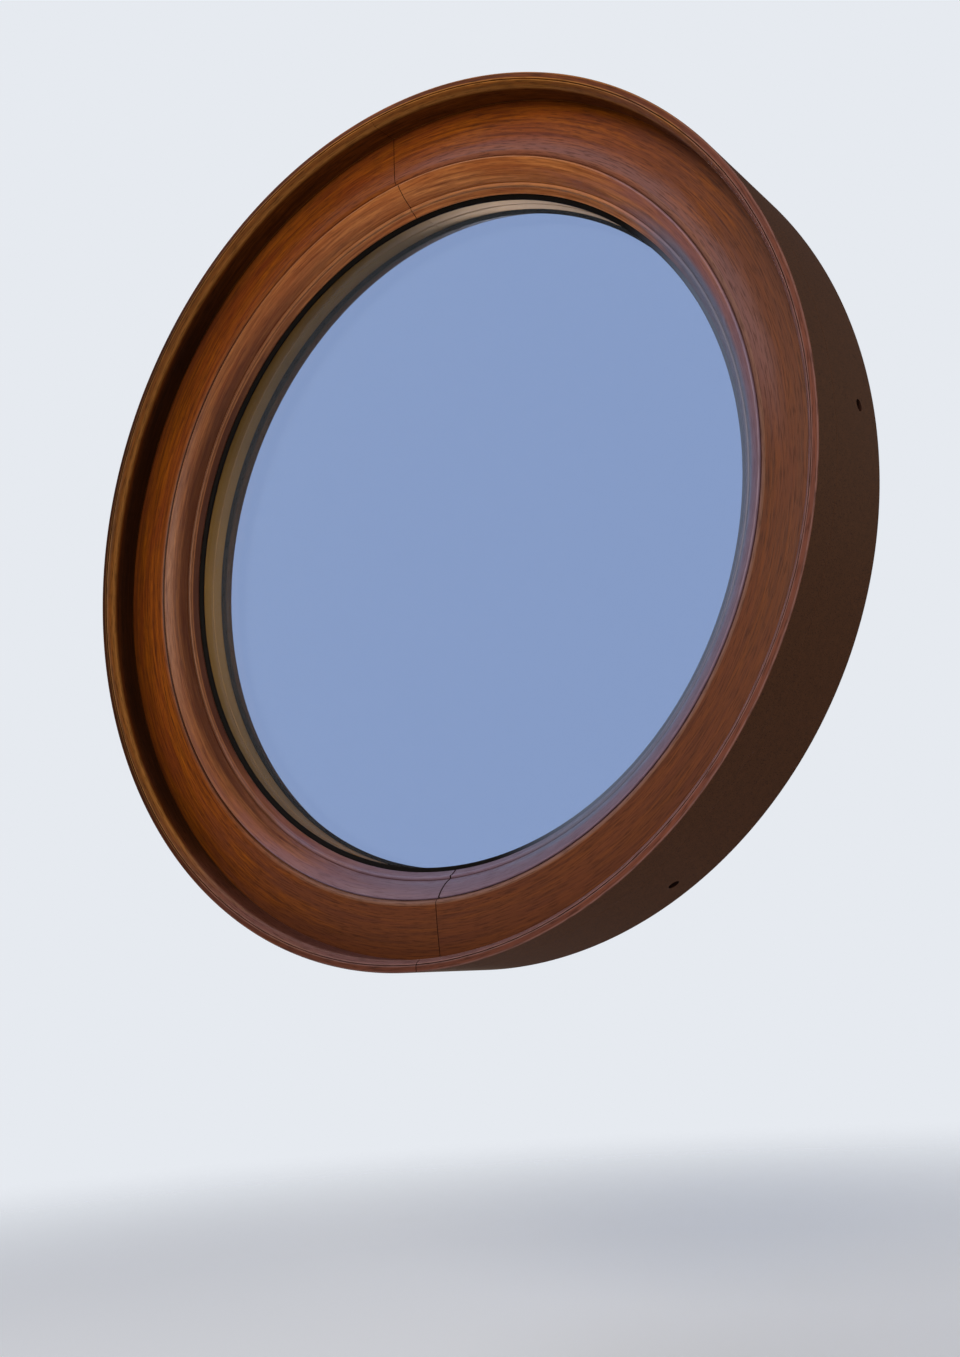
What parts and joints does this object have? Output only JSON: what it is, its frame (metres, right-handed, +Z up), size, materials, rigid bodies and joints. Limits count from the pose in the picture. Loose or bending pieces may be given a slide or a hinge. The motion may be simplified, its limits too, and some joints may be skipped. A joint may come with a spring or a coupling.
{
  "type": "round window",
  "caption": "Fixed round window with a moulded hardwood frame in two half rings, outside glazing bead, raised rim and sealed double glazing, built into a round wall opening.",
  "frame": {"origin": "on the window's axis, halfway through the depth of the frame's round outer edge", "axes": "+X to the right and +Z up as seen from outside, +Y from outside into the room"},
  "size_m": [0.646, 0.0965, 0.646],
  "materials": {
    "frame_wood": "stained and varnished, satin",
    "trim_wood": "stained and varnished, satin",
    "bead_wood": "stained and varnished, satin",
    "gasket": "matte",
    "glass": "clear float glass",
    "spacer": "champagne anodised",
    "key": "moulded",
    "desiccant": "packed grains",
    "sealant": "cured sealant",
    "block": "moulded",
    "dowel": "plain beech",
    "pin": "bright steel"
  },
  "bodies": {
    "root": {"frame_left": "frame_wood", "frame_right": "frame_wood", "trim_left": "trim_wood", "trim_right": "trim_wood", "bead_left": "bead_wood", "bead_right": "bead_wood", "outer_gasket": "gasket", "room_gasket": "gasket", "outer_pane": "glass", "inner_pane": "glass", "spacer_bar": "spacer", "spacer_key": "key", "desiccant": "desiccant", "butyl_seals": "sealant", "edge_seal": "sealant", "setting_blocks": "block", "location_blocks": "block", "frame_dowels": "dowel", "bead_pins": "pin", "trim_pins": "pin"}
  },
  "joints": []
}
